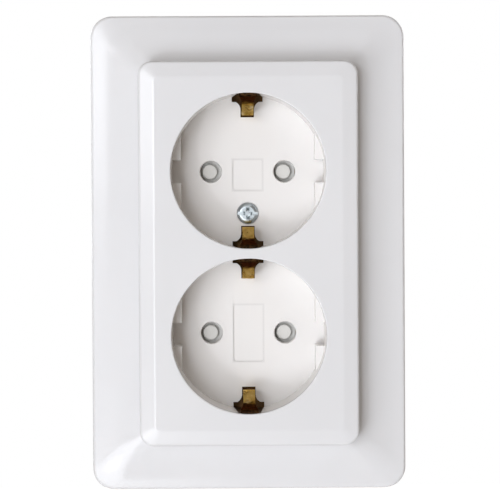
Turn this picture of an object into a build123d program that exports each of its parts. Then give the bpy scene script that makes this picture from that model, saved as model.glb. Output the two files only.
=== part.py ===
from build123d import *
import math
import os

# A twin earthed wall socket outlet for one 60 mm flush box, with shutters behind the pin holes.
# Millimetres. +Z is up and +Y goes into the wall. The wall's face is Y = 0, and the origin lies on
# it, at the middle of the box. The front face points to -Y, so a "front" value is the smaller Y.

# ---- driving dimensions ----
FRAME_W = 80.2              # outer frame, across
FRAME_H = 121.2             # outer frame, upright
FRAME_EDGE_H = 12.6         # outer frame's height at its outer edge
FRAME_TOP_H = 16.2          # outer frame's height where it meets the cover
FRAME_SWEEP = 1.6           # power of the concave sweep between those heights
FRAME_CORNER_R = 5.5
FRAME_EDGE_R = 0.8
FRAME_SKIN = 1.8
FRAME_RIM_T = 2.2
FRAME_SECTIONS = 8

PLATE_W = 55.4              # raised cover plate, across
PLATE_H = 97.0              # raised cover plate, upright
PROJECTION = 23.3           # wall to the flat of the cover plate
PLATE_CORNER_R = 3.6
PLATE_EDGE_R = 0.8
PLATE_SKIN = 2.4
BEVEL_W = 3.9
BEVEL_DROP = 0.65
BEVEL_CORNER_R = 1.3
CREASE_R = 3.0
SKIRT_T = 1.5
LIP_W = 1.4                 # ledge of the frame that the skirt presses on
LIP_T = 1.7

WELL_R = 19.6
WELL_GAP = 2.5              # between the rims of the two wells
WELL_DEPTH = 17.0
WELL_WALL = 1.15
WELL_RIM_R = 0.3
CUT = 1.0                   # how far cuts run past the faces they open
FLOOR_T = 1.9
FLANGE_W = 1.4
FLANGE_T = 1.2
RIB_X = 17.15               # flat guide faces at the sides of a well
RIB_HALF_Z = 9.5
RIB_DEPTH = 9.0             # rim to the front of the guide ribs
RIB_NOTCH = 6.0

PIN_PITCH = 19.0
PIN_BORE_R = 2.75
PIN_MOUTH_R = 2.95
PIN_CONE = 0.5
COLLAR_R = 3.75
COLLAR_T = 0.12
PANEL_W = 7.8
PANEL_T = 0.35
PANEL_R = 0.9
UPPER_PANEL = (-4.9, 3.2)   # lowest and highest Z of the sunk panel, from the well's middle
LOWER_PANEL = (-7.5, 7.3)

COVER_SCREW_DROP = 10.8     # below the upper well's middle
SCREW_R = 1.5
SCREW_HEAD_R = 2.75
SCREW_HEAD_T = 1.75
SCREW_SINK = 0.9            # depth of the counterbore for the head
SCREW_TIP_Y = 7.5
SCREW_HOLE_GAP = 0.25
SCREW_HEAD_GAP = 0.1
SCREW_PASS = 0.4            # radial room where the screw only passes through
SCREW_ROUND = 0.55          # share of a head's thickness that is rounded
SCREW_POINT = 0.6           # share of a shank's radius that its point tapers
DRIVE_SLOT_W = 0.75
DRIVE_SLOT_T = 0.55
DRIVE_CROSS_R = 1.55
DRIVE_CROSS_W = 0.85
DRIVE_CROSS_T = 1.1

CLIP_T = 0.6                # sheet of the earth clips
CLIP_HEAD_W = 4.6
CLIP_NOSE_W = 3.0
CLIP_NOSE_R = 14.25         # well's middle to the tip of a clip's nose
CLIP_FOLD_R = 0.6
CLIP_SLOT_END_R = 14.05
CLIP_SLOT_HALF = 1.75
CLIP_FLARE_HALF = 4.0
CLIP_FLARE_R = 16.0
CLIP_WINDOW_TOP_HALF = 2.7
CLIP_WINDOW_TOP = 0.6       # rim to the top of the window
CLIP_LEG_GAP = 0.25
CLIP_LEG_SIDE_GAP = 0.3
CLIP_WINDOW_OVER = 0.16     # window past the outside of a well's wall
CLIP_FLANK_SHARE = 0.3      # where the clip's side flares from nose to head
CLIP_FLANK_BULGE = 0.3
CLIP_NECK_DEPTH = 7.2       # rim to the end of the steep head
CLIP_NECK_OUT = 2.3         # head's end outside the nose
CLIP_NOSE_DEPTH = 9.4
CLIP_HEEL_DEPTH = 12.2
CLIP_HEEL_OUT = 0.15
CLIP_END_OUT = 0.9
CLIP_BEND_R = 0.56
CLIP_LEAD = 0.02            # straight start of the arm before its fold

SHUTTER_TRAVEL = 6.2
SHUTTER_T = 0.85
SHUTTER_HALF_Z = 4.5
SHUTTER_DOME_R = 2.0
SHUTTER_DOME_T = 1.3
SHUTTER_DOME_EDGE_R = 0.45
SHUTTER_OFFSET = 0.25       # the domes sit this far left of the pin holes
SHUTTER_WINDOW_R = 2.9
SHUTTER_RUN = 0.1           # running clearance in front, behind and beside the slider
SHUTTER_END = 0.9
RAIL_T = 1.0
RAIL_INSET = 0.5            # rails to the outside of the cup
RETAINER_INSET = 0.3
RETAINER_HOLE_GAP = 0.4     # wider than the pin holes
RETAINER_T = 0.55
ARM_W = 1.6
ARM_TOP_Z = 8.3
ARM_RISE = 0.5              # the arm stands this far in front of the slider
SPRING_Z = 7.2
SPRING_R = 0.6
SPRING_WIRE_R = 0.13
SPRING_TURNS = 12
SPRING_POST_X = 3.6
SPRING_POST_W = 1.4
SPRING_SEAT_GAP = 0.05
SPRING_BACK_GAP = 0.045

SUPPORT_SIDE = 71.0
SUPPORT_T = 0.8
SUPPORT_CORNER_R = 9.0
BOX_SCREW_PITCH = 60.0
BOX_SLOT_L = 7.0
BOX_SLOT_R = 1.8
STRAP_T = 0.6
STRAP_HALF_X = 4.6
RETAINER_GAP = 0.1          # between the moving cover's retainers and the fixed strap

BASE_R = 28.6               # everything behind the wall's face lies inside this circle
BASE_HALF_X = 15.4
BASE_BACK_Y = 20.0
BASE_FRONT_T = 1.9
BASE_FRONT_Y = -0.7
CHANNEL_W = 8.0
CHANNEL_HALF_Z = 24.0
BASE_PIN_GAP = 0.5          # wider than the pin holes
EARTH_CHANNEL_HALF_Z = 7.0
PIECE_GAP = 0.3             # between pieces of the insert that don't touch
BASE_GAP = 0.3              # base to the support plate's opening
EAR_X = 21.6
EAR_Z = 10.0
EAR_HALF_Z = 2.6
EAR_T = 2.4
EAR_RIVET_X = 18.7
RIVET_R = 1.4
RIVET_HEAD_R = 2.3
RIVET_HEAD_T = 0.7
COVER_T = 2.0               # rear cover
REAR_RIVET_Z = (19.2, -23.6)
REAR_RIVET_FRONT_Y = 1.0
SMALL_RIVET_R = 1.0
BRACKET_HALF_Z = 5.6        # inner clip bracket's flange, each way
BRACKET_RIVET_Z = 3.4

TULIP_T = 0.6
TULIP_HALF_GAP = 2.1
TULIP_MOUTH_HALF = 3.1
TULIP_W = 5.4
TULIP_FRONT_Y = 2.0
TULIP_THROAT_Y = 4.6
STRIP_Y = 11.0              # front of the contact strips' web
STRIP_T = 0.8
STRIP_HALF_X = 3.0
TAB_T = 0.7                 # wire clamping tab
TAB_HALF_Z = 6.4
TAB_END = 1.2               # tab to the rear cover
TERMINAL_HALF_PITCH = 4.6
WIRE_R = 1.5
WIRE_FUNNEL = 0.5
WIRE_X = -0.75              # wires, from the middle of a channel
WIRE_SPRING_TOP_Y = 18.0
WIRE_SPRING_T = 0.35
WIRE_SPRING_W = 3.4
WIRE_SPRING_STAND = 0.5     # its upright, outside the strip's edge
WIRE_SPRING_FOOT = 0.1      # its foot, from the strip's web
WIRE_SPRING_CREST = 1.6     # its crest, inside the strip's edge
WIRE_SPRING_END = 1.5       # its end, inside the strip's other edge
WIRE_SPRING_DIP = 3.4       # its end, below the crest
EARTH_TERMINAL_Z = -14.2

BUTTON_X = 2.35             # release button, from the middle of a channel
BUTTON_HALF_X = 1.1
BUTTON_HALF_Z = 1.6
BUTTON_PROUD = 1.6
BUTTON_RUN = 0.08
BUTTON_WING_T = 0.9
BUTTON_WING_HALF_Z = 6.0

BUSH_R = 2.9
BUSH_FRONT_Y = 1.4
BUSH_BACK_Y = 7.0
BUSH_SEAT = 0.02            # radial clearance of the bush in the base
BUSH_RUN = 0.05             # radial clearance of the cover screw in its bush
BUSH_BEYOND = 3.0           # screw room behind the bush

CLAW_PIVOT_X = 18.4
CLAW_FRONT_Y = 0.4
CLAW_T = 1.0
CLAW_HALF_Z = 4.7
CLAW_WEB_Y = 5.0
CLAW_BACK_Y = 18.0
CLAW_OUTER_X = 26.2
CLAW_SCREW_X = 22.6
CLAW_SCREW_TIP_Y = 17.0
CLAW_SLOT_IN = 3.3          # how far the web's slot reaches inwards of the screw
CLAW_HEAD_R = 2.7
CLAW_HEAD_T = 1.6
CLAW_TEETH = 3
CLAW_TOOTH = 1.6
CLAW_TOOTH_OUT = 0.8        # share of a tooth's pitch that it stands out
CLAW_TOOTH_TIP = 0.9        # share of a tooth's pitch at which its tip lies
CLAW_HUB = 1.0              # half width of the cheek at the pivot
CLAW_KNEE_X = 2.4
CLAW_KNEE_Y = 2.0
CLAW_SHOULDER_Y = 0.6
CLAW_END_W = 2.8
CLAW_INNER_W = 3.2
CLAW_INNER_Y = 4.0
CLAW_SCREW_GAP = 0.15
CLAW_SLOT_GAP = 0.2

# ---- values that follow ----
WELL_Z = WELL_R + WELL_GAP / 2
FRONT_Y = -PROJECTION
FLOOR_Y = FRONT_Y + WELL_DEPTH
FLOOR_BACK_Y = FLOOR_Y + FLOOR_T
PLATE_BACK_Y = FRONT_Y + PLATE_SKIN
PLATE_GAP = 0.2
OPENING_W = PLATE_W + 2 * PLATE_GAP
OPENING_H = PLATE_H + 2 * PLATE_GAP
LIP_BACK_Y = -SUPPORT_T - 0.4
LIP_FRONT_Y = LIP_BACK_Y - LIP_T
SKIRT_BACK_Y = LIP_FRONT_Y
CUP_R = WELL_R + WELL_WALL
PIN_X = PIN_PITCH / 2
COVER_SCREW_Z = WELL_Z - COVER_SCREW_DROP
SCREW_SEAT_Y = FLOOR_Y + SCREW_SINK
STRAP_BACK_Y = -SUPPORT_T
STRAP_FRONT_Y = STRAP_BACK_Y - STRAP_T
RETAINER_BACK_Y = STRAP_FRONT_Y - RETAINER_GAP
RETAINER_FRONT_Y = RETAINER_BACK_Y - RETAINER_T
SHUTTER_BACK_Y = RETAINER_FRONT_Y - SHUTTER_RUN
SHUTTER_FRONT_Y = SHUTTER_BACK_Y - SHUTTER_T
DOME_TOP_Y = SHUTTER_FRONT_Y - SHUTTER_DOME_T
COVER_BACK_Y = BASE_BACK_Y + COVER_T
CLIP_FOLD_Y = FRONT_Y + CLIP_WINDOW_TOP + CLIP_LEG_GAP + CLIP_FOLD_R + CLIP_T / 2
CLIP_LEG_R = WELL_R + CLIP_FOLD_R
SPRING_Y = RETAINER_FRONT_Y - SPRING_BACK_GAP - SPRING_R - SPRING_WIRE_R
CUP_GAP = WELL_GAP - 2 * WELL_WALL
BRACKET_FRONT_Y = STRAP_FRONT_Y - STRAP_T
STRAP_RIVET_Z = (BASE_R + SUPPORT_SIDE / 2) / 2
BUTTON_WING_FRONT_Y = BASE_BACK_Y - BUTTON_RUN - BUTTON_WING_T


# ---- helpers ----
def prism(outline, y_front, y_back):
    """Fill an outline drawn in X and Z between two Y values."""
    return extrude(Plane.XZ.offset(-y_back) * outline, amount=y_back - y_front)


def rod(x, z, radius, y_front, y_back):
    """A cylinder along Y."""
    return prism(Pos(x, z) * Circle(radius), y_front, y_back)


def block(x_low, x_high, y_low, y_high, z_low, z_high):
    """A box from its lowest to its highest corner."""
    middle = ((x_low + x_high) / 2, (y_low + y_high) / 2, (z_low + z_high) / 2)
    return Pos(*middle) * Box(x_high - x_low, y_high - y_low, z_high - z_low)


def cone(x, z, r_front, r_back, y_front, y_back):
    """A cone along Y, with its radius at each end."""
    seat = Plane(origin=(x, y_back, z), z_dir=(0, -1, 0))
    return Solid.make_cone(r_back, r_front, y_back - y_front, seat)


def bent_strip(points, bend_r, width, thickness, across):
    """Sheet bent along a line of points, with its width along the direction across."""
    path = FilletPolyline(*points, radius=bend_r)
    start = Plane(origin=path @ 0, x_dir=across, z_dir=path % 0)
    return sweep(start * Rectangle(width, thickness), path=path)


def at_level(shape, y):
    """The edges of a shape that lie flat at one Y value."""
    flat = [e for e in shape.edges() if abs(e.bounding_box().min.Y - y) < 1e-3]
    return [e for e in flat if abs(e.bounding_box().max.Y - y) < 1e-3]


def on_side(shape, z_middle, upwards):
    """Move a shape made at the top of a well around the origin to the top or foot of a well."""
    turned = shape if upwards else mirror(shape, about=Plane.XY)
    return Pos(0, 0, z_middle) * turned


def rivet(x, z, y_front, y_back):
    """A rivet along Y with a domed head at each end; the two Y values are the riveted faces."""
    shank = rod(x, z, RIVET_R, y_front, y_back)
    front = cone(x, z, RIVET_R, RIVET_HEAD_R, y_front - RIVET_HEAD_T, y_front)
    back = cone(x, z, RIVET_HEAD_R, RIVET_R, y_back, y_back + RIVET_HEAD_T)
    return shank + front + back


def flush_rivet(x, z, radius, y_front, y_back):
    """A rivet along Y with a domed head in front and its tail flush with y_back."""
    shank = rod(x, z, radius, y_front, y_back)
    head_r = radius * RIVET_HEAD_R / RIVET_R
    return shank + cone(x, z, radius, head_r, y_front - RIVET_HEAD_T, y_front)


def drive_recess(x, z, y_top):
    """A straight slot and a cross recess, cut into a screw head from its top."""
    slot = block(
        x - SCREW_HEAD_R, x + SCREW_HEAD_R, y_top, y_top + DRIVE_SLOT_T,
        z - DRIVE_SLOT_W / 2, z + DRIVE_SLOT_W / 2,
    )
    cross = cone(x, z, DRIVE_CROSS_R, DRIVE_CROSS_R / 2, y_top, y_top + DRIVE_CROSS_T)
    arm = Rectangle(2 * DRIVE_CROSS_R, DRIVE_CROSS_W)
    arms = Pos(x, z) * (arm + Rot(0, 0, 90) * arm)
    ticks = Pos(x, z) * Rot(0, 0, 45) * Rectangle(2 * DRIVE_CROSS_R, DRIVE_SLOT_W / 3)
    tick_cut = prism(ticks, y_top, y_top + DRIVE_SLOT_T / 2)
    return slot + (cross & prism(arms, y_top, y_top + DRIVE_CROSS_T)) + tick_cut


def pan_head_screw(x, z, head_r, head_t, y_seat, y_tip, shank_r):
    """A pan head screw along Y whose head sits in front of y_seat."""
    y_top = y_seat - head_t
    head = rod(x, z, head_r, y_top, y_seat)
    head = fillet(at_level(head, y_top), head_t * SCREW_ROUND)
    y_point = y_tip - shank_r * SCREW_POINT
    point = cone(x, z, shank_r, shank_r * SCREW_POINT, y_point, y_tip)
    shank = rod(x, z, shank_r, y_seat, y_point)
    return head + shank + point - drive_recess(x, z, y_top)


# ---- front: frame, cover plate and wells ----
def frame_section(share):
    """The frame's outline and height at a share of the way in from its edge to the opening."""
    width = FRAME_W + (OPENING_W - FRAME_W) * share
    height = FRAME_H + (OPENING_H - FRAME_H) * share
    corner = FRAME_CORNER_R + (PLATE_CORNER_R + PLATE_GAP - FRAME_CORNER_R) * share
    rise = FRAME_EDGE_H + (FRAME_TOP_H - FRAME_EDGE_H) * share**FRAME_SWEEP
    return RectangleRounded(width, height, corner), rise


def frame_sweep(drop):
    """The swept front of the frame, lowered by drop."""
    sections = [frame_section(i / (FRAME_SECTIONS - 1)) for i in range(FRAME_SECTIONS)]
    return loft([Plane.XZ.offset(rise - drop) * outline for outline, rise in sections])


def outer_frame():
    slab = prism(RectangleRounded(FRAME_W, FRAME_H, FRAME_CORNER_R), -FRAME_EDGE_H, 0)
    body = slab + frame_sweep(0)
    body = fillet(at_level(body, -FRAME_EDGE_H), FRAME_EDGE_R)
    rim_w = FRAME_W - 2 * FRAME_RIM_T
    rim_h = FRAME_H - 2 * FRAME_RIM_T
    rim_r = FRAME_CORNER_R - FRAME_RIM_T
    hollow = prism(RectangleRounded(rim_w, rim_h, rim_r), FRAME_SKIN - FRAME_EDGE_H, 0)
    inside = prism(RectangleRounded(rim_w, rim_h, rim_r), -FRAME_TOP_H, 0)
    hollow += frame_sweep(FRAME_SKIN) & inside
    wall_w = OPENING_W + 2 * FRAME_SKIN
    wall_h = OPENING_H + 2 * FRAME_SKIN
    wall = prism(RectangleRounded(wall_w, wall_h, PLATE_CORNER_R), -FRAME_TOP_H, LIP_BACK_Y)
    body -= hollow - wall
    opening = RectangleRounded(OPENING_W, OPENING_H, PLATE_CORNER_R + PLATE_GAP)
    body -= prism(opening, -2 * FRAME_TOP_H, LIP_FRONT_Y)
    lip_w = OPENING_W - 2 * LIP_W
    lip_h = OPENING_H - 2 * LIP_W
    lip = RectangleRounded(lip_w, lip_h, PLATE_CORNER_R - LIP_W)
    return body - prism(lip, -2 * FRAME_TOP_H, CUT)


def cover_plate():
    shoulder_y = FRONT_Y + BEVEL_DROP
    outline = RectangleRounded(PLATE_W, PLATE_H, PLATE_CORNER_R)
    flat = RectangleRounded(PLATE_W - 2 * BEVEL_W, PLATE_H - 2 * BEVEL_W, BEVEL_CORNER_R)
    sections = [Plane.XZ.offset(-shoulder_y) * outline, Plane.XZ.offset(PROJECTION) * flat]
    bevel = loft(sections, ruled=True)
    body = prism(outline, shoulder_y, SKIRT_BACK_Y) + bevel
    body = fillet(at_level(body, FRONT_Y), CREASE_R)
    body = fillet(at_level(body, shoulder_y), PLATE_EDGE_R)
    inner_w = PLATE_W - 2 * SKIRT_T
    inner_h = PLATE_H - 2 * SKIRT_T
    inner = RectangleRounded(inner_w, inner_h, PLATE_CORNER_R - SKIRT_T)
    body -= prism(inner, PLATE_BACK_Y, 0)
    for z in (WELL_Z, -WELL_Z):
        body -= rod(0, z, WELL_R, FRONT_Y - CUT, PLATE_BACK_Y + CUT)
    rims = [e for e in at_level(body, FRONT_Y) if e.geom_type == GeomType.CIRCLE]
    body = fillet([e for e in rims if e.radius > WELL_R / 2], WELL_RIM_R)
    for z in (WELL_Z, -WELL_Z):
        for upwards in (True, False):
            body -= on_side(clip_window(), z, upwards)
    return body


def clip_window():
    """The tapered window for a clip through a well's wall, at the top of a well at the origin."""
    top_y = FRONT_Y + CLIP_WINDOW_TOP
    low_y = FLOOR_BACK_Y + CUT
    outline = Polyline(
        (-CLIP_WINDOW_TOP_HALF, top_y), (CLIP_WINDOW_TOP_HALF, top_y), (CLIP_FLARE_HALF, FLOOR_Y),
        (CLIP_FLARE_HALF, low_y), (-CLIP_FLARE_HALF, low_y), (-CLIP_FLARE_HALF, FLOOR_Y), close=True,
    )
    inner_z = WELL_R - CLIP_FOLD_R - CUT
    reach = CUP_R + CLIP_WINDOW_OVER - inner_z
    return extrude(Plane.XY.offset(inner_z) * make_face(outline), amount=reach)


def clip_slot():
    """The trumpet-shaped slot in a well's floor, at the top of a well at the origin."""
    flare = CLIP_FLARE_HALF - CLIP_SLOT_HALF
    bend = flare * math.sin(math.radians(45))
    end_r = CLIP_SLOT_END_R
    stem = Polyline((0, end_r), (CLIP_SLOT_HALF, end_r), (CLIP_SLOT_HALF, CLIP_FLARE_R))
    flank = ThreePointArc(
        (CLIP_SLOT_HALF, CLIP_FLARE_R),
        (CLIP_FLARE_HALF - bend, CLIP_FLARE_R + bend),
        (CLIP_FLARE_HALF, CLIP_FLARE_R + flare),
    )
    rest = Polyline(
        (CLIP_FLARE_HALF, CLIP_FLARE_R + flare), (CLIP_FLARE_HALF, WELL_R), (0, WELL_R), (0, end_r)
    )
    half = make_face(Curve() + [stem, flank, rest])
    return prism(half + mirror(half, about=Plane.YZ), FLOOR_Y - CUT, FLOOR_BACK_Y + CUT)


def guide_ribs():
    """The two flat-faced guide ribs of a well at the origin, each with a notch on the pins' row."""
    ring = Circle(WELL_R + WELL_WALL / 2)
    sides = Rectangle(2 * CUP_R, 2 * RIB_HALF_Z) - Rectangle(2 * RIB_X, 2 * RIB_HALF_Z)
    notch = Rectangle(2 * CUP_R, RIB_NOTCH)
    return prism((sides & ring) - notch, FRONT_Y + RIB_DEPTH, FLOOR_Y)


def shutter_rails():
    """Rails behind a well's floor that guide the shutter, and the post its spring pushes on."""
    low = SHUTTER_HALF_Z + SHUTTER_RUN
    high = low + RAIL_T
    front = FLOOR_BACK_Y
    back = RETAINER_FRONT_Y
    reach = math.sqrt(CUP_R**2 - high**2) - RAIL_INSET
    arm_low = shutter_arm_x() - SHUTTER_RUN
    arm_high = shutter_arm_x() + ARM_W + SHUTTER_TRAVEL + SHUTTER_END
    lower = block(-reach, reach, front, back, -high, -low)
    left = block(-reach, arm_low, front, back, low, high)
    right = block(arm_high, reach, front, back, low, high)
    post = block(SPRING_POST_X, SPRING_POST_X + SPRING_POST_W, front, back, high, ARM_TOP_Z)
    return lower + left + right + post


def well_cup(panel, screw_z):
    """A well around the origin: wall, floor, guide ribs and, behind the floor, the shutter's rails."""
    body = rod(0, 0, CUP_R, PLATE_BACK_Y, FLOOR_BACK_Y) - rod(0, 0, WELL_R, PLATE_BACK_Y, FLOOR_Y)
    flange = rod(0, 0, CUP_R + FLANGE_W, PLATE_BACK_Y, PLATE_BACK_Y + FLANGE_T)
    body += flange - rod(0, 0, WELL_R, PLATE_BACK_Y, FLOOR_Y)
    body += guide_ribs() + shutter_rails()
    for x in (-PIN_X, PIN_X):
        body += rod(x, 0, COLLAR_R, FLOOR_Y - COLLAR_T, FLOOR_Y)
    for x in (-PIN_X, PIN_X):
        body -= rod(x, 0, PIN_BORE_R, FLOOR_Y - CUT, FLOOR_BACK_Y + CUT)
        body -= cone(x, 0, PIN_MOUTH_R, PIN_BORE_R, FLOOR_Y - COLLAR_T, FLOOR_Y + PIN_CONE)
    low, high = panel
    recess = Pos(0, (low + high) / 2) * RectangleRounded(PANEL_W, high - low, PANEL_R)
    body -= prism(recess, FLOOR_Y - CUT, FLOOR_Y + PANEL_T)
    if screw_z is not None:
        body -= rod(0, screw_z, SCREW_R + SCREW_HOLE_GAP, FLOOR_Y - CUT, FLOOR_BACK_Y + CUT)
        body -= rod(0, screw_z, SCREW_HEAD_R + SCREW_HEAD_GAP, FLOOR_Y - CUT, SCREW_SEAT_Y)
    for upwards in (True, False):
        body -= on_side(clip_slot() + clip_window(), 0, upwards)
    return body


def place_cup(cup, z):
    """Set a cup at its height, with its flange trimmed where the other cup begins."""
    keep = block(-PLATE_W, PLATE_W, FRONT_Y, BASE_BACK_Y, CUP_GAP / 2, PLATE_H)
    keep = keep if z > 0 else mirror(keep, about=Plane.XY)
    return (Pos(0, 0, z) * cup) & keep


# ---- shutters ----
def shutter_arm_x():
    """The left side of the arm that the shutter's spring pushes on."""
    return -PIN_X - SHUTTER_OFFSET - SHUTTER_DOME_R - ARM_W - SHUTTER_END


def shutter():
    """The slider of a well at the origin: two domes over the pin holes and a window left of each."""
    dome_x = [x - SHUTTER_OFFSET for x in (-PIN_X, PIN_X)]
    window_x = [x - SHUTTER_TRAVEL for x in (-PIN_X, PIN_X)]
    left = window_x[0] - SHUTTER_WINDOW_R - SHUTTER_END
    right = dome_x[1] + SHUTTER_DOME_R + SHUTTER_END
    body = block(left, right, SHUTTER_FRONT_Y, SHUTTER_BACK_Y, -SHUTTER_HALF_Z, SHUTTER_HALF_Z)
    arm_x = shutter_arm_x()
    arm_y = SHUTTER_FRONT_Y - ARM_RISE
    body += block(arm_x, arm_x + ARM_W, arm_y, SHUTTER_BACK_Y, SHUTTER_HALF_Z, ARM_TOP_Z)
    for x in dome_x:
        dome = rod(x, 0, SHUTTER_DOME_R, DOME_TOP_Y, SHUTTER_BACK_Y)
        body += fillet(at_level(dome, DOME_TOP_Y), SHUTTER_DOME_EDGE_R)
    for x in window_x:
        body -= rod(x, 0, SHUTTER_WINDOW_R, SHUTTER_FRONT_Y - CUT, SHUTTER_BACK_Y + CUT)
    return body


def shutter_spring():
    """The compression spring between the shutter's arm and the post."""
    start = shutter_arm_x() + ARM_W + SPRING_SEAT_GAP + SPRING_WIRE_R
    length = SPRING_POST_X - SPRING_SEAT_GAP - SPRING_WIRE_R - start
    middle = (start, SPRING_Y, SPRING_Z)
    coil = Helix(length / SPRING_TURNS, length, SPRING_R, center=middle, direction=(1, 0, 0))
    wire = Plane(origin=coil @ 0, z_dir=coil % 0) * Circle(SPRING_WIRE_R)
    return sweep(wire, path=coil, is_frenet=True)


def shutter_retainer():
    """The thin plate that holds the slider and its spring behind a well's floor."""
    low = -SHUTTER_HALF_Z - SHUTTER_RUN - RAIL_T
    outline = Pos(0, (low + ARM_TOP_Z) / 2) * Rectangle(2 * CUP_R, ARM_TOP_Z - low)
    outline = outline & Circle(CUP_R - RETAINER_INSET)
    body = prism(outline, RETAINER_FRONT_Y, RETAINER_BACK_Y)
    for x in (-PIN_X, PIN_X):
        hole_r = PIN_BORE_R + RETAINER_HOLE_GAP
        body -= rod(x, 0, hole_r, RETAINER_FRONT_Y - CUT, RETAINER_BACK_Y + CUT)
    return body


# ---- earth path ----
def clip_outline():
    """A clip seen from the front at the top of a well at the origin: wide head, narrow nose."""
    head = CLIP_HEAD_W / 2
    nose = CLIP_NOSE_W / 2
    top = CLIP_LEG_R + CLIP_T
    shoulder = WELL_R - CLIP_FOLD_R - CLIP_T / 2
    neck = CLIP_FLARE_R + CLIP_T
    tip = CLIP_NOSE_R - CLIP_T
    side = Polyline((0, tip), (nose, tip), (nose, neck))
    flare_x = nose + (head - nose) * CLIP_FLANK_SHARE
    flare_r = (neck + shoulder) / 2 + CLIP_FLANK_BULGE
    flank = ThreePointArc((nose, neck), (flare_x, flare_r), (head, shoulder))
    rest = Polyline((head, shoulder), (head, top), (0, top), (0, tip))
    half = make_face(Curve() + [side, flank, rest])
    return half + mirror(half, about=Plane.YZ)


def earth_clip():
    """The sprung arm of an earth clip: fold at the rim, steep head, nose, end in the floor's slot."""
    top_y = CLIP_FOLD_Y - CLIP_FOLD_R
    nose_r = CLIP_NOSE_R + CLIP_T / 2
    points = [
        (0, CLIP_FOLD_Y + CLIP_LEAD, CLIP_LEG_R),
        (0, top_y, CLIP_LEG_R),
        (0, top_y, WELL_R - CLIP_FOLD_R),
        (0, FRONT_Y + CLIP_NECK_DEPTH, nose_r + CLIP_NECK_OUT),
        (0, FRONT_Y + CLIP_NOSE_DEPTH, nose_r),
        (0, FRONT_Y + CLIP_HEEL_DEPTH, nose_r + CLIP_HEEL_OUT),
        (0, FLOOR_Y + FLOOR_T / 2, nose_r + CLIP_END_OUT),
    ]
    strip = bent_strip(points, CLIP_BEND_R, CLIP_HEAD_W, CLIP_T, (1, 0, 0))
    return strip & prism(clip_outline(), FRONT_Y - CUT, 0)


def clip_leg(foot_y):
    """The fixed upright that carries a clip: it widens with the window, from the fold to foot_y."""
    top_y = CLIP_FOLD_Y + CLIP_LEG_GAP
    top = CLIP_HEAD_W / 2
    foot = CLIP_FLARE_HALF - CLIP_LEG_SIDE_GAP
    outline = Polyline(
        (-top, top_y), (top, top_y), (foot, FLOOR_Y), (foot, foot_y), (-foot, foot_y),
        (-foot, FLOOR_Y), close=True,
    )
    return extrude(Plane.XY.offset(CLIP_LEG_R - CLIP_T / 2) * make_face(outline), amount=CLIP_T)


def earth_strap():
    """The strap that joins all four clips, with the outer clips' uprights at its ends."""
    end = WELL_Z + CLIP_LEG_R + CLIP_T / 2
    body = block(-STRAP_HALF_X, STRAP_HALF_X, STRAP_FRONT_Y, STRAP_BACK_Y, -end, end)
    body += Pos(0, 0, WELL_Z) * clip_leg(STRAP_FRONT_Y)
    body += Pos(0, 0, -WELL_Z) * mirror(clip_leg(STRAP_FRONT_Y), about=Plane.XY)
    body -= rod(0, COVER_SCREW_Z, SCREW_R + SCREW_PASS, STRAP_FRONT_Y - CUT, STRAP_BACK_Y + CUT)
    for z in (-STRAP_RIVET_Z, STRAP_RIVET_Z):
        body -= rod(0, z, RIVET_R, STRAP_FRONT_Y - CUT, STRAP_BACK_Y + CUT)
    for z in (-BRACKET_RIVET_Z, BRACKET_RIVET_Z):
        body -= rod(0, z, SMALL_RIVET_R, STRAP_FRONT_Y - CUT, STRAP_BACK_Y + CUT)
    return body


def inner_clip_bracket():
    """Two uprights back to back between the wells, with flanges riveted to the strap."""
    half = CLIP_HEAD_W / 2
    body = block(-half, half, BRACKET_FRONT_Y, STRAP_FRONT_Y, -BRACKET_HALF_Z, BRACKET_HALF_Z)
    leg = Pos(0, 0, WELL_Z) * mirror(clip_leg(STRAP_FRONT_Y), about=Plane.XY)
    body += leg + mirror(leg, about=Plane.XY)
    for z in (-BRACKET_RIVET_Z, BRACKET_RIVET_Z):
        body -= rod(0, z, SMALL_RIVET_R, BRACKET_FRONT_Y - CUT, STRAP_FRONT_Y + CUT)
    return body


def strap_rivets():
    """Four rivets, flush at the back: two through bracket and strap, two through strap and plate."""
    rivets = []
    for z in (-STRAP_RIVET_Z, STRAP_RIVET_Z):
        rivets.append(flush_rivet(0, z, RIVET_R, STRAP_FRONT_Y, 0))
    for z in (-BRACKET_RIVET_Z, BRACKET_RIVET_Z):
        rivets.append(flush_rivet(0, z, SMALL_RIVET_R, BRACKET_FRONT_Y, STRAP_BACK_Y))
    return rivets


def support_plate():
    """The steel ring that lies on the wall and carries everything."""
    body = prism(RectangleRounded(SUPPORT_SIDE, SUPPORT_SIDE, SUPPORT_CORNER_R), -SUPPORT_T, 0)
    cuts = prism(base_outline(BASE_GAP), -SUPPORT_T - CUT, CUT)
    for side in (-1, 1):
        slot = Pos(side * BOX_SCREW_PITCH / 2, 0) * SlotOverall(BOX_SLOT_L, 2 * BOX_SLOT_R)
        cuts += prism(slot, -SUPPORT_T - CUT, CUT)
        cuts += rod(side * CLAW_SCREW_X, 0, SCREW_R + CLAW_SCREW_GAP, -SUPPORT_T - CUT, CUT)
        cuts += rod(0, side * STRAP_RIVET_Z, RIVET_R, -SUPPORT_T - CUT, CUT)
    for x in (-EAR_RIVET_X, EAR_RIVET_X):
        for z in (-EAR_Z, EAR_Z):
            cuts += rod(x, z, RIVET_R, -SUPPORT_T - CUT, CUT)
    return body - cuts


def plate_rivets():
    """Four rivets that hold the base's ears to the support plate."""
    corners = [(x, z) for x in (-EAR_RIVET_X, EAR_RIVET_X) for z in (-EAR_Z, EAR_Z)]
    return [rivet(x, z, -SUPPORT_T, EAR_T) for x, z in corners]


# ---- body in the box ----
def base_outline(margin):
    """The base seen from the front: a bar with its ends rounded to the box's circle."""
    return Rectangle(2 * (BASE_HALF_X + margin), 4 * BASE_R) & Circle(BASE_R + margin)


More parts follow.
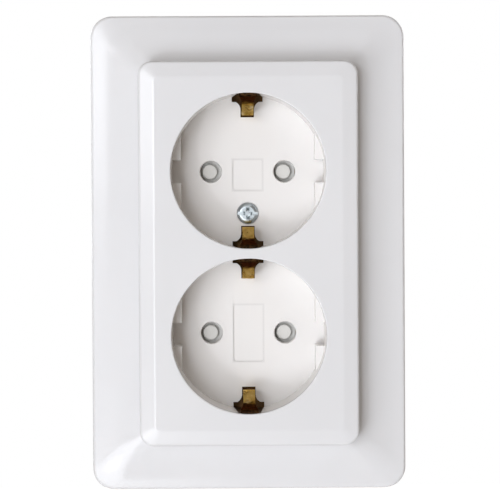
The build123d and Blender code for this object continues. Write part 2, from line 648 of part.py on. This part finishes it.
def terminals():
    """The middle X and Z of each wire terminal: left pole, right pole, earth."""
    return {"left": (-PIN_X, 0), "right": (PIN_X, 0), "earth": (0, EARTH_TERMINAL_Z)}


def socket_base():
    """The insulating tub, open at the back, with a channel for each pole and one for earth."""
    body = prism(base_outline(0), BASE_FRONT_Y, BASE_BACK_Y)
    for side in (-1, 1):
        low, high = sorted((side * (BASE_HALF_X - CUT), side * EAR_X))
        for z in (-EAR_Z, EAR_Z):
            ear = block(low, high, 0, EAR_T, z - EAR_HALF_Z, z + EAR_HALF_Z)
            body += ear - rod(side * EAR_RIVET_X, z, RIVET_R, -CUT, EAR_T + CUT)
    floor_y = BASE_FRONT_Y + BASE_FRONT_T
    half = CHANNEL_W / 2
    for x in (-PIN_X, PIN_X):
        body -= block(x - half, x + half, floor_y, BASE_BACK_Y + CUT, -CHANNEL_HALF_Z, CHANNEL_HALF_Z)
        for z in (-WELL_Z, WELL_Z):
            body -= rod(x, z, PIN_BORE_R + BASE_PIN_GAP, BASE_FRONT_Y - CUT, floor_y + CUT)
    low = EARTH_TERMINAL_Z - EARTH_CHANNEL_HALF_Z
    high = EARTH_TERMINAL_Z + EARTH_CHANNEL_HALF_Z
    body -= block(-half, half, floor_y, BASE_BACK_Y + CUT, low, high)
    slot_half = STRIP_HALF_X + PIECE_GAP
    slot_z = TAB_HALF_Z + PIECE_GAP
    body -= block(
        -slot_half, slot_half, BASE_FRONT_Y - CUT, floor_y + CUT,
        EARTH_TERMINAL_Z - slot_z, EARTH_TERMINAL_Z + slot_z,
    )
    body -= rod(0, COVER_SCREW_Z, SCREW_R + SCREW_PASS, BASE_FRONT_Y - CUT, BUSH_BACK_Y + BUSH_BEYOND)
    body -= rod(0, COVER_SCREW_Z, BUSH_R + BUSH_SEAT, BASE_FRONT_Y - CUT, BUSH_BACK_Y)
    for z in REAR_RIVET_Z:
        body -= rod(0, z, RIVET_R, BASE_FRONT_Y - CUT, BASE_BACK_Y + CUT)
        body -= rod(0, z, RIVET_HEAD_R + PIECE_GAP, BASE_FRONT_Y - CUT, REAR_RIVET_FRONT_Y)
    return body


def screw_bush():
    """The brass bush that the cover screw turns in."""
    body = rod(0, COVER_SCREW_Z, BUSH_R, BUSH_FRONT_Y, BUSH_BACK_Y)
    return body - rod(0, COVER_SCREW_Z, SCREW_R + BUSH_RUN, BUSH_FRONT_Y - CUT, BUSH_BACK_Y + CUT)


def rear_cover():
    """The plate that closes the tub, with a funnel for each wire and a hole for each button."""
    body = prism(base_outline(0), BASE_BACK_Y, COVER_BACK_Y)
    body = fillet(at_level(body, COVER_BACK_Y), PLATE_EDGE_R)
    for x, z in terminals().values():
        for wire_z in (z - TERMINAL_HALF_PITCH, z + TERMINAL_HALF_PITCH):
            wire_x = x + WIRE_X
            body -= rod(wire_x, wire_z, WIRE_R, BASE_BACK_Y - CUT, COVER_BACK_Y + CUT)
            funnel_y = COVER_BACK_Y - WIRE_FUNNEL
            body -= cone(wire_x, wire_z, WIRE_R, WIRE_R + WIRE_FUNNEL, funnel_y, COVER_BACK_Y)
        hole_x = BUTTON_HALF_X + BUTTON_RUN
        hole_z = BUTTON_HALF_Z + BUTTON_RUN
        body -= block(
            x + BUTTON_X - hole_x, x + BUTTON_X + hole_x, BASE_BACK_Y - CUT, COVER_BACK_Y + CUT,
            z - hole_z, z + hole_z,
        )
    for z in REAR_RIVET_Z:
        body -= rod(0, z, RIVET_R, BASE_BACK_Y - CUT, COVER_BACK_Y + CUT)
    return body


def rear_rivets():
    """Two rivets that hold the rear cover to the base."""
    return [rivet(0, z, REAR_RIVET_FRONT_Y, COVER_BACK_Y) for z in REAR_RIVET_Z]


# ---- contacts and terminals ----
def terminal_tab(x, z):
    """The web that stops the wires and the tab that they are clamped against."""
    low = x - STRIP_HALF_X
    z_low = z - TAB_HALF_Z
    z_high = z + TAB_HALF_Z
    web = block(low, x + STRIP_HALF_X, STRIP_Y, STRIP_Y + STRIP_T, z_low, z_high)
    return web + block(low, low + TAB_T, STRIP_Y, BASE_BACK_Y - TAB_END, z_low, z_high)


def tulip_leaf(x, z, side):
    """One sprung leaf of a pin contact, flared at its mouth."""
    throat = TULIP_HALF_GAP + TULIP_T / 2
    root = STRIP_HALF_X - TULIP_T / 2
    points = [
        (x + side * TULIP_MOUTH_HALF, TULIP_FRONT_Y, z),
        (x + side * throat, TULIP_THROAT_Y, z),
        (x + side * root, STRIP_Y + STRIP_T, z),
    ]
    return bent_strip(points, TULIP_T, TULIP_W, TULIP_T, (0, 0, 1))


def contact_strip(x):
    """A pole's strip: a pin contact at each well, joined past the wire terminal between them."""
    end = WELL_Z + TULIP_W / 2
    body = block(x - STRIP_HALF_X, x + STRIP_HALF_X, STRIP_Y, STRIP_Y + STRIP_T, -end, end)
    body += terminal_tab(x, 0)
    for z in (-WELL_Z, WELL_Z):
        for side in (-1, 1):
            body += tulip_leaf(x, z, side)
    return body


def earth_terminal():
    """The earth terminal: foot against the strap, leg through the base, web and tab."""
    x, z = terminals()["earth"]
    foot = block(
        x - STRIP_HALF_X, x + STRIP_HALF_X, STRAP_BACK_Y, STRAP_BACK_Y + STRIP_T,
        z - TAB_HALF_Z, z + TAB_HALF_Z,
    )
    leg = block(
        x - STRIP_HALF_X, x - STRIP_HALF_X + TAB_T, STRAP_BACK_Y, STRIP_Y + STRIP_T,
        z - TAB_HALF_Z, z + TAB_HALF_Z,
    )
    return foot + leg + terminal_tab(x, z)


def wire_springs(x, z):
    """The two bent leaf springs that press a terminal's wires against its tab."""
    springs = []
    for wire_z in (z - TERMINAL_HALF_PITCH, z + TERMINAL_HALF_PITCH):
        points = [
            (x + STRIP_HALF_X + WIRE_SPRING_STAND, STRIP_Y + STRIP_T + WIRE_SPRING_FOOT, wire_z),
            (x + STRIP_HALF_X + WIRE_SPRING_STAND, WIRE_SPRING_TOP_Y, wire_z),
            (x + STRIP_HALF_X - WIRE_SPRING_CREST, WIRE_SPRING_TOP_Y, wire_z),
            (x - STRIP_HALF_X + WIRE_SPRING_END, WIRE_SPRING_TOP_Y - WIRE_SPRING_DIP, wire_z),
        ]
        bend_r = 2 * WIRE_SPRING_T
        springs.append(bent_strip(points, bend_r, WIRE_SPRING_W, WIRE_SPRING_T, (0, 0, 1)))
    return springs


def release_button(x, z):
    """The button that frees a terminal's wires: a stem through the rear cover and wings inside."""
    low = x + BUTTON_X - BUTTON_HALF_X
    high = x + BUTTON_X + BUTTON_HALF_X
    top_y = COVER_BACK_Y + BUTTON_PROUD
    stem = block(low, high, BUTTON_WING_FRONT_Y, top_y, z - BUTTON_HALF_Z, z + BUTTON_HALF_Z)
    stem = fillet(at_level(stem, top_y), BUTTON_HALF_X / 3)
    wings = block(
        low, high, BUTTON_WING_FRONT_Y, BUTTON_WING_FRONT_Y + BUTTON_WING_T,
        z - BUTTON_WING_HALF_Z, z + BUTTON_WING_HALF_Z,
    )
    return stem + wings


# ---- claws ----
def claw():
    """The right-hand spreading claw: two toothed cheeks joined by a web with a slot for the screw."""
    outer_x = CLAW_OUTER_X
    hub_x = CLAW_PIVOT_X - CLAW_HUB
    edge = [
        (hub_x, CLAW_FRONT_Y),
        (CLAW_PIVOT_X + CLAW_HUB, CLAW_FRONT_Y),
        (CLAW_PIVOT_X + CLAW_KNEE_X, CLAW_WEB_Y - CLAW_KNEE_Y),
        (outer_x, CLAW_WEB_Y - CLAW_SHOULDER_Y),
    ]
    first_y = CLAW_BACK_Y - CLAW_TEETH * CLAW_TOOTH
    for i in range(CLAW_TEETH):
        tip_y = first_y + (i + CLAW_TOOTH_TIP) * CLAW_TOOTH
        edge.append((outer_x, first_y + i * CLAW_TOOTH))
        edge.append((outer_x + CLAW_TOOTH * CLAW_TOOTH_OUT, tip_y))
    edge += [
        (outer_x - CLAW_END_W, CLAW_BACK_Y),
        (outer_x - CLAW_INNER_W, CLAW_WEB_Y + CLAW_INNER_Y),
        (hub_x, CLAW_WEB_Y + CLAW_T),
    ]
    cheek = make_face(Polyline(*edge, close=True))
    whole = extrude(Plane.XY.offset(-CLAW_HALF_Z) * cheek, amount=2 * CLAW_HALF_Z)
    inside = CLAW_HALF_Z - CLAW_T
    middle = block(0, 2 * outer_x, 0, CLAW_BACK_Y + CUT, -inside, inside)
    web = block(hub_x, outer_x, CLAW_WEB_Y, CLAW_WEB_Y + CLAW_T, -inside, inside)
    slot_half = SCREW_R + CLAW_SLOT_GAP
    slot_low = CLAW_SCREW_X - CLAW_SLOT_IN
    slot = block(slot_low, CLAW_SCREW_X + slot_half, 0, CLAW_BACK_Y, -slot_half, slot_half)
    return whole - middle + web - slot


def claw_screw():
    """The right-hand claw screw."""
    return pan_head_screw(
        CLAW_SCREW_X, 0, CLAW_HEAD_R, CLAW_HEAD_T, -SUPPORT_T, CLAW_SCREW_TIP_Y, SCREW_R
    )


# ---- assembly ----
def as_group(pieces):
    """Identical fasteners share one node as separate solids."""
    return Compound(children=[solid for piece in pieces for solid in piece.solids()])


def build():
    nodes = {
        "outer_frame": outer_frame(),
        "cover_plate": cover_plate(),
        "cover_screw": pan_head_screw(
            0, COVER_SCREW_Z, SCREW_HEAD_R, SCREW_HEAD_T, SCREW_SEAT_Y, SCREW_TIP_Y, SCREW_R
        ),
        "support_plate": support_plate(),
        "plate_rivets": as_group(plate_rivets()),
        "earth_strap": earth_strap(),
        "inner_clip_bracket": inner_clip_bracket(),
        "strap_rivets": as_group(strap_rivets()),
        "socket_base": socket_base(),
        "screw_bush": screw_bush(),
        "rear_cover": rear_cover(),
        "rear_rivets": as_group(rear_rivets()),
        "contact_strip_left": contact_strip(-PIN_X),
        "contact_strip_right": contact_strip(PIN_X),
        "earth_terminal": earth_terminal(),
    }
    wells = {
        "upper": (WELL_Z, UPPER_PANEL, -COVER_SCREW_DROP),
        "lower": (-WELL_Z, LOWER_PANEL, None),
    }
    for name, (z, panel, screw_z) in wells.items():
        nodes[f"well_cup_{name}"] = place_cup(well_cup(panel, screw_z), z)
        nodes[f"shutter_{name}"] = Pos(0, 0, z) * shutter()
        nodes[f"shutter_spring_{name}"] = Pos(0, 0, z) * shutter_spring()
        nodes[f"shutter_retainer_{name}"] = Pos(0, 0, z) * shutter_retainer()
        nodes[f"earth_clip_{name}_top"] = on_side(earth_clip(), z, True)
        nodes[f"earth_clip_{name}_foot"] = on_side(earth_clip(), z, False)
    for name, (x, z) in terminals().items():
        nodes[f"wire_springs_{name}"] = as_group(wire_springs(x, z))
        nodes[f"release_button_{name}"] = release_button(x, z)
    nodes["claw_right"] = claw()
    nodes["claw_left"] = mirror(claw(), about=Plane.YZ)
    nodes["claw_screw_right"] = claw_screw()
    nodes["claw_screw_left"] = mirror(claw_screw(), about=Plane.YZ)
    return nodes


os.makedirs("parts", exist_ok=True)
for node_name, node_shape in build().items():
    export_step(node_shape, f"parts/{node_name}.step")
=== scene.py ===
"""White twin earthed wall socket outlet: looks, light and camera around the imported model."""
import math

import bpy
from mathutils import Matrix, Vector


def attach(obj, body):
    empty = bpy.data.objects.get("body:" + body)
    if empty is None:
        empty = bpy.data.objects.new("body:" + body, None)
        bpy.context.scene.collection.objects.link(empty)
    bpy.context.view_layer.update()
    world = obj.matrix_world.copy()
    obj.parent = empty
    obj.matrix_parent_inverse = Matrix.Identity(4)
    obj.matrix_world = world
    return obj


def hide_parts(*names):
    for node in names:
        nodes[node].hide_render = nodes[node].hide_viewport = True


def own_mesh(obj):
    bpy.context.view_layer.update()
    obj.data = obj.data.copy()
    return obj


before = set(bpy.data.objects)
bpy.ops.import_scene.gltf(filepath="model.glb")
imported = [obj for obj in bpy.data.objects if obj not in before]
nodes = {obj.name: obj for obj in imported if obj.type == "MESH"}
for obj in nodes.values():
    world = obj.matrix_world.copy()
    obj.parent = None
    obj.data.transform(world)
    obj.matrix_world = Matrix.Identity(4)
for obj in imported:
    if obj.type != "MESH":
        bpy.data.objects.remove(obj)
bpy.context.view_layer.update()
scene = bpy.context.scene
MM = 0.001


# ---- node helpers ----
class Nodes:
    """A material's node tree with short ways to add and link nodes."""

    def __init__(self, name):
        self.material = bpy.data.materials.new(name)
        self.material.use_nodes = True
        self.tree = self.material.node_tree
        self.shader = self.tree.nodes["Principled BSDF"]

    def add(self, kind, **settings):
        node = self.tree.nodes.new(kind)
        for key, value in settings.items():
            if key in node.inputs:
                node.inputs[key].default_value = value
            else:
                setattr(node, key, value)
        return node

    def link(self, a, b):
        self.tree.links.new(a, b)

    def place(self):
        """Position in metres, the same on every piece."""
        if not hasattr(self, "_place"):
            self._place = self.add("ShaderNodeTexCoord").outputs["Object"]
        return self._place

    def noise(self, scale, detail=3.0, stretch=None):
        node = self.add("ShaderNodeTexNoise")
        node.inputs["Scale"].default_value = scale
        node.inputs["Detail"].default_value = detail
        where = self.place()
        if stretch:
            mapping = self.add("ShaderNodeMapping")
            mapping.inputs["Scale"].default_value = stretch
            self.link(where, mapping.inputs["Vector"])
            where = mapping.outputs["Vector"]
        self.link(where, node.inputs["Vector"])
        return node.outputs["Fac"]

    def ramp(self, value, stops):
        """Map a value through (position, colour or number) stops."""
        node = self.add("ShaderNodeValToRGB")
        elements = node.color_ramp.elements
        while len(elements) < len(stops):
            elements.new(0.5)
        for element, (position, colour) in zip(elements, stops):
            element.position = position
            grey = isinstance(colour, (int, float))
            element.color = (colour, colour, colour, 1) if grey else (*colour, 1)
        self.link(value, node.inputs["Fac"])
        return node.outputs["Color"]

    def math(self, operation, a, b=0.5):
        node = self.add("ShaderNodeMath", operation=operation)
        for i, value in enumerate((a, b)):
            if isinstance(value, (int, float)):
                node.inputs[i].default_value = value
            else:
                self.link(value, node.inputs[i])
        return node.outputs["Value"]

    def mix(self, share, a, b, blend="MIX"):
        node = self.add("ShaderNodeMix", data_type="RGBA", blend_type=blend)
        for i, value in ((0, share), (6, a), (7, b)):
            if isinstance(value, (int, float)):
                node.inputs[i].default_value = value
            elif isinstance(value, tuple):
                node.inputs[i].default_value = (*value, 1)
            else:
                self.link(value, node.inputs[i])
        return node.outputs[2]

    def bump(self, height, strength, distance):
        node = self.add("ShaderNodeBump")
        node.inputs["Strength"].default_value = strength
        node.inputs["Distance"].default_value = distance
        self.link(height, node.inputs["Height"])
        self.link(node.outputs["Normal"], self.shader.inputs["Normal"])


# ---- sizes that the materials follow, in metres ----
WELL_Z = 0.02085            # each well's middle, above and below the plate's
NOSE_END = 0.0163           # out from a well's middle: the clip's bright metal ends here
HEAD_START = 0.0174         # and is fully under the painted shade from here
CLIP_REACH = 0.02
RAGGED = 0.0016             # how far the edge of the painted shade wanders
PANELS = ((0.01595, 0.02405), (-0.02835, -0.01355))     # sunk panels' heights, upper and lower
PANEL_HALF_W = 0.0039
# how far the painted shade reaches out from the sunk panels' outlines
OUTLINE_SHADE_REACH = 0.0004

PLASTIC_GRAIN = 0.00002
ROUGH_GRAIN = 0.00004
METAL_GRAIN = 0.00001
BRONZE_GRAIN = 0.00006
PLASTIC_IOR = 1.43
SUBSURFACE_RADIUS = (0.0012, 0.001, 0.0009)
BLOTCHES, GLOSS, SKIN = 28, 45, 1500        # noise scales, per metre
PATCHES = 160
GLOSS_SPREAD = (0.93, 1.07)                 # shares of the roughness
POLISH_SPREAD = (0.75, 1.3)
# roughness where the clips' painted shade lies, near the rim
RIM_SHADE_ROUGHNESS = 0.6
BRONZE_EDGE_TINT = (0.50, 0.30, 0.14)


# ---- material makers ----
def panel_outline_shade(m, tone):
    """The tone with painted shade, a little darker along the outlines of the wells' sunk panels."""
    split = m.add("ShaderNodeSeparateXYZ")
    m.link(m.place(), split.inputs["Vector"])
    upper = m.math("GREATER_THAN", split.outputs["Z"], 0.0)
    (low_a, high_a), (low_b, high_b) = PANELS
    middle_a, middle_b = (low_a + high_a) / 2, (low_b + high_b) / 2
    half_a, half_b = (high_a - low_a) / 2, (high_b - low_b) / 2
    middle = m.math("ADD", m.math("MULTIPLY", upper, middle_a - middle_b), middle_b)
    half = m.math("ADD", m.math("MULTIPLY", upper, half_a - half_b), half_b)
    from_middle = m.math("ABSOLUTE", m.math("SUBTRACT", split.outputs["Z"], middle))
    up = m.math("SUBTRACT", from_middle, half)
    across = m.math("SUBTRACT", m.math("ABSOLUTE", split.outputs["X"]), PANEL_HALF_W)
    off = m.math("ABSOLUTE", m.math("MAXIMUM", up, across))
    shade = m.ramp(m.math("DIVIDE", off, OUTLINE_SHADE_REACH), [(0.0, 0.90), (0.35, 0.93), (1.0, 1.0)])
    return m.mix(1.0, tone, shade, "MULTIPLY")


def plastic(name, low, high, roughness, grain=PLASTIC_GRAIN, subsurface=0.0, outline_shade=False):
    """Moulded plastic: slight blotches of tone, uneven gloss and a fine skin."""
    m = Nodes(name)
    tone = m.ramp(m.noise(BLOTCHES, 3), [(0.25, low), (0.75, high)])
    # painted shade along the outlines of the wells' sunk panels
    if outline_shade:
        tone = panel_outline_shade(m, tone)
    m.link(tone, m.shader.inputs["Base Color"])
    least, most = GLOSS_SPREAD
    gloss = m.ramp(m.noise(GLOSS, 2), [(0.25, roughness * least), (0.75, roughness * most)])
    m.link(gloss, m.shader.inputs["Roughness"])
    m.bump(m.noise(SKIN, 2), 0.15, grain)
    m.shader.inputs["IOR"].default_value = PLASTIC_IOR
    if subsurface:
        m.shader.inputs["Subsurface Weight"].default_value = subsurface
        m.shader.inputs["Subsurface Radius"].default_value = SUBSURFACE_RADIUS
        m.shader.inputs["Subsurface Scale"].default_value = 1.0
    return m.material


def metal(name, low, high, roughness, stretch=(1, 1, 1), scale=220, dull=None):
    """Sheet or turned metal: drawn grain, uneven polish and dull patches."""
    m = Nodes(name)
    lines = m.noise(scale, 4, stretch)
    tone = m.ramp(lines, [(0.3, low), (0.7, high)])
    if dull:
        patches = m.ramp(m.noise(PATCHES, 3), [(0.45, 0.0), (0.7, 1.0)])
        tone = m.mix(patches, tone, dull)
    m.link(tone, m.shader.inputs["Base Color"])
    least, most = POLISH_SPREAD
    polish = m.ramp(lines, [(0.25, roughness * least), (0.75, roughness * most)])
    m.link(polish, m.shader.inputs["Roughness"])
    m.bump(lines, 0.3, METAL_GRAIN)
    m.shader.inputs["Metallic"].default_value = 1.0
    return m.material


def sprung_bronze(name):
    """Spring bronze, bright at the nose and darkened towards the rim with painted shade."""
    m = Nodes(name)
    split = m.add("ShaderNodeSeparateXYZ")
    m.link(m.place(), split.inputs["Vector"])
    height = m.math("ABSOLUTE", split.outputs["Z"])
    radius = m.math("ABSOLUTE", m.math("SUBTRACT", height, WELL_Z))
    wander = m.math("MULTIPLY", m.math("SUBTRACT", m.noise(900, 3), 0.5), RAGGED)
    edge = m.math("DIVIDE", m.math("ADD", radius, wander), CLIP_REACH)
    # painted shade: the clip's colour turns near black from HEAD_START out to the rim
    rim_shade = m.ramp(edge, [(NOSE_END / CLIP_REACH, 0.0), (HEAD_START / CLIP_REACH, 1.0)])
    bright = m.ramp(
        m.noise(600, 4, (1, 1, 0.12)),
        [(0.3, (0.52, 0.34, 0.09)), (0.55, (0.74, 0.53, 0.18)), (0.78, (0.95, 0.82, 0.50))],
    )
    dark = m.ramp(m.noise(1400, 3), [(0.35, (0.012, 0.007, 0.004)), (0.72, (0.09, 0.045, 0.018))])
    m.link(m.mix(rim_shade, bright, dark), m.shader.inputs["Base Color"])
    polish = m.ramp(m.noise(800, 3), [(0.3, 0.22), (0.7, 0.42)])
    m.link(m.mix(rim_shade, polish, (RIM_SHADE_ROUGHNESS,) * 3), m.shader.inputs["Roughness"])
    m.shader.inputs["Specular Tint"].default_value = (*BRONZE_EDGE_TINT, 1)
    m.bump(m.noise(1100, 3), 0.5, BRONZE_GRAIN)
    m.shader.inputs["Metallic"].default_value = 1.0
    return m.material


# ---- materials ----
white = plastic("white_plastic", (0.735, 0.735, 0.748), (0.765, 0.765, 0.776), 0.17, subsurface=0.06)
well = plastic(
    "well_plastic", (0.80, 0.782, 0.766), (0.84, 0.822, 0.806), 0.26, subsurface=0.06, outline_shade=True,
)
shutter = plastic("shutter_plastic", (0.62, 0.61, 0.58), (0.68, 0.67, 0.64), 0.42)
insert = plastic("insert_plastic", (0.50, 0.50, 0.48), (0.56, 0.56, 0.54), 0.5, ROUGH_GRAIN)
button = plastic("button_plastic", (0.80, 0.22, 0.04), (0.86, 0.27, 0.05), 0.38)
brass = metal("strip_brass", (0.60, 0.42, 0.17), (0.72, 0.53, 0.25), 0.34, (1, 1, 0.08), 420)
bronze = sprung_bronze("clip_bronze")
# painted shade: the earth strap and clip bracket are coloured near black-brown because they lie in
# shade inside the wells
shade_dark_metal = metal(
    "shade_dark_brass", (0.06, 0.035, 0.015), (0.16, 0.09, 0.04), 0.45, (1, 1, 0.1), 420,
)
turned = metal("turned_brass", (0.66, 0.48, 0.20), (0.78, 0.60, 0.30), 0.22, (1, 0.06, 1), 600)
zinc = metal(
    "zinc_steel", (0.40, 0.44, 0.46), (0.58, 0.63, 0.65), 0.30, scale=500, dull=(0.34, 0.38, 0.40),
)
sheet = metal(
    "sheet_steel", (0.46, 0.47, 0.48), (0.60, 0.61, 0.62), 0.38, (0.1, 1, 1), 260,
    dull=(0.42, 0.43, 0.44),
)
spring = metal("spring_steel", (0.40, 0.41, 0.43), (0.54, 0.55, 0.57), 0.25, scale=700)

FINISHES = {
    "outer_frame": white, "cover_plate": white, "well_cup": well,
    "shutter": shutter, "shutter_retainer": insert, "shutter_spring": spring, "wire_springs": spring,
    "socket_base": insert, "rear_cover": insert, "release_button": button,
    "cover_screw": zinc, "claw_screw": zinc, "claw": sheet, "support_plate": sheet,
    "plate_rivets": sheet, "rear_rivets": sheet, "strap_rivets": turned, "screw_bush": turned,
    "earth_clip": bronze, "earth_strap": shade_dark_metal, "inner_clip_bracket": shade_dark_metal,
    "contact_strip": brass, "earth_terminal": brass,
}


def finish_for(name):
    """The finish whose key is the longest start of a node's name."""
    return FINISHES[max((key for key in FINISHES if name.startswith(key)), key=len)]


for name, piece in nodes.items():
    piece.data.materials.clear()
    piece.data.materials.append(finish_for(name))


# ---- copies of the springs ----
def soft_spring(node, body):
    """A copy of a CAD spring, attached to the given body and shown in place of the hidden CAD piece.
    """
    cad = nodes[node]
    spring_piece = bpy.data.objects.new(node + "_soft", cad.data.copy())
    scene.collection.objects.link(spring_piece)
    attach(spring_piece, body)
    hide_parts(node)
    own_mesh(spring_piece)


for side in ("upper", "lower"):
    node = f"shutter_spring_{side}"
    soft_spring(node, "cover")

for side in ("left", "right", "earth"):
    node = f"wire_springs_{side}"
    soft_spring(node, "insert")


# ---- floor, light and camera ----
FLOOR_REACH = 12.0          # metres each way
FLOOR_Z = -1.6
FLOOR_GLOW = 0.9            # only for the camera, so that the floor is as pale as the backdrop
COOL = (0.92, 0.95, 1.0)
WARM = (1.0, 0.85, 0.70)
AMBIENT = 0.23
SOFT_BOXES = (              # name, place, width and height in metres, watts
    ("low_left", (-0.82, -2.0, -0.76), (1.50, 0.90), 23.5),
    ("spark", (-0.80, -2.0, -0.74), (0.10, 0.10), 4.0),
    ("left", (-0.72, -2.0, 0.28), (0.85, 0.50), 9.5),
    ("near_left", (-0.40, -2.0, -0.05), (0.28, 0.70), 4.2),
    ("top", (0.0, -1.6, 1.6), (1.6, 1.0), 6.0),
    ("back_right", (1.6, 1.7, 0.7), (1.2, 1.2), 22.0),
    ("back_left", (-1.6, 1.7, 0.5), (1.2, 1.2), 22.0),
)


def make_floor():
    """A plain pale sheet under the outlet."""
    m = Nodes("floor_paper")
    m.link(m.ramp(m.noise(3, 2), [(0.3, 0.93), (0.7, 0.95)]), m.shader.inputs["Base Color"])
    m.shader.inputs["Roughness"].default_value = 0.9
    m.shader.inputs["Emission Color"].default_value = (1, 1, 1, 1)
    seen = m.add("ShaderNodeLightPath").outputs["Is Camera Ray"]
    m.link(m.math("MULTIPLY", seen, FLOOR_GLOW), m.shader.inputs["Emission Strength"])
    mesh = bpy.data.meshes.new("floor")
    turns = ((-1, -1), (1, -1), (1, 1), (-1, 1))
    corners = [(x * FLOOR_REACH, y * FLOOR_REACH, FLOOR_Z) for x, y in turns]
    mesh.from_pydata(corners, [], [range(4)])
    sheet_object = bpy.data.objects.new("floor", mesh)
    sheet_object.data.materials.append(m.material)
    scene.collection.objects.link(sheet_object)


def soft_box(name, place, size, power):
    """A rectangular light aimed at the middle of the plate."""
    light = bpy.data.lights.new(name, "AREA")
    light.shape = "RECTANGLE"
    light.size, light.size_y = size
    light.energy = power
    light.color = COOL
    lamp = bpy.data.objects.new(name, light)
    lamp.location = place
    lamp.rotation_euler = (-Vector(place)).to_track_quat("-Z", "Y").to_euler()
    scene.collection.objects.link(lamp)


make_floor()
for box in SOFT_BOXES:
    soft_box(*box)

world = bpy.data.worlds.new("studio")
world.use_nodes = True
tree = world.node_tree
ambient = tree.nodes["Background"]
ambient.inputs["Color"].default_value = (*WARM, 1)
ambient.inputs["Strength"].default_value = AMBIENT
backdrop = tree.nodes.new("ShaderNodeBackground")
backdrop.inputs["Color"].default_value = (1, 1, 1, 1)
backdrop.inputs["Strength"].default_value = 1.0
seen = tree.nodes.new("ShaderNodeLightPath")
choice = tree.nodes.new("ShaderNodeMixShader")
tree.links.new(seen.outputs["Is Camera Ray"], choice.inputs["Fac"])
tree.links.new(ambient.outputs["Background"], choice.inputs[1])
tree.links.new(backdrop.outputs["Background"], choice.inputs[2])
tree.links.new(choice.outputs["Shader"], tree.nodes["World Output"].inputs["Surface"])
scene.world = world
scene.view_settings.view_transform = "Standard"

CAMERA_PLACE = Vector((-6.37, -581.4, 12.84)) * MM
TILT, ROLL, PAN = math.radians(-1.224), math.radians(0.343), math.radians(-0.686)
LOOK_ALONG_Y = math.radians(90)
FOCAL_OVER_WIDTH = 4.4418    # lens over sensor width
SENSOR_WIDTH = 36.0

turn = (
    Matrix.Rotation(TILT, 3, "X") @ Matrix.Rotation(PAN, 3, "Z") @ Matrix.Rotation(ROLL, 3, "Y")
    @ Matrix.Rotation(LOOK_ALONG_Y, 3, "X")
)
camera_data = bpy.data.cameras.new("camera")
camera_data.sensor_width = SENSOR_WIDTH
camera_data.lens = FOCAL_OVER_WIDTH * SENSOR_WIDTH
camera_data.clip_start = 0.01
camera_data.clip_end = 50.0
camera = bpy.data.objects.new("camera", camera_data)
camera.matrix_world = Matrix.Translation(CAMERA_PLACE) @ turn.to_4x4()
scene.collection.objects.link(camera)
scene.camera = camera
